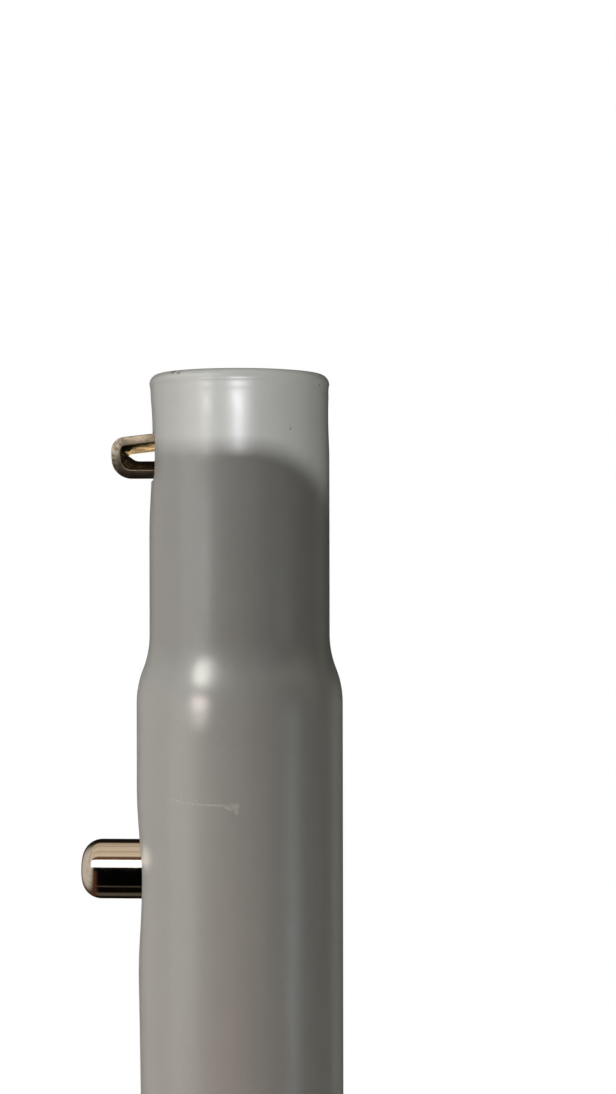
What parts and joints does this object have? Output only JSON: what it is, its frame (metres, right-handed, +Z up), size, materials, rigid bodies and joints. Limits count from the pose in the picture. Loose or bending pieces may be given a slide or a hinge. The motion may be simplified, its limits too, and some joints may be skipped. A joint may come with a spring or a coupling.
{
  "type": "quick-release antenna mast section",
  "caption": "Short swaged steel mast tube with a rounded open spigot, a sprung latch loop, a thumb button below it and a slotted socket at the foot.",
  "frame": {"origin": "centre of the socket's mouth, on the tube's axis", "axes": "+Z up the tube towards the spigot's rim; -X the side that the latch loop and the button stand out of"},
  "size_m": [0.0323, 0.0254, 0.2032],
  "materials": {
    "tube_powder_coat": "satin light grey powder coat over steel",
    "spring_nickel": "spring steel, satin nickel plate",
    "button_nickel": "turned steel, bright nickel plate"
  },
  "bodies": {
    "tube": {"mast_tube": "tube_powder_coat", "spring_back_leg": "spring_nickel", "spring_bend": "spring_nickel"},
    "latch": {"latch_leg": "spring_nickel", "push_button": "button_nickel"}
  },
  "joints": [
    {"name": "latch_press", "type": "hinge", "parent": "tube", "child": "latch", "pos_m": [-0.00796, 0, 0.1012], "axis": [0, 1, 0], "range_deg": [0, 3.1], "stiffness_Nm_per_rad": 6.4, "springref_deg": -1.72, "deforming": ["spring_bend"]}
  ]
}
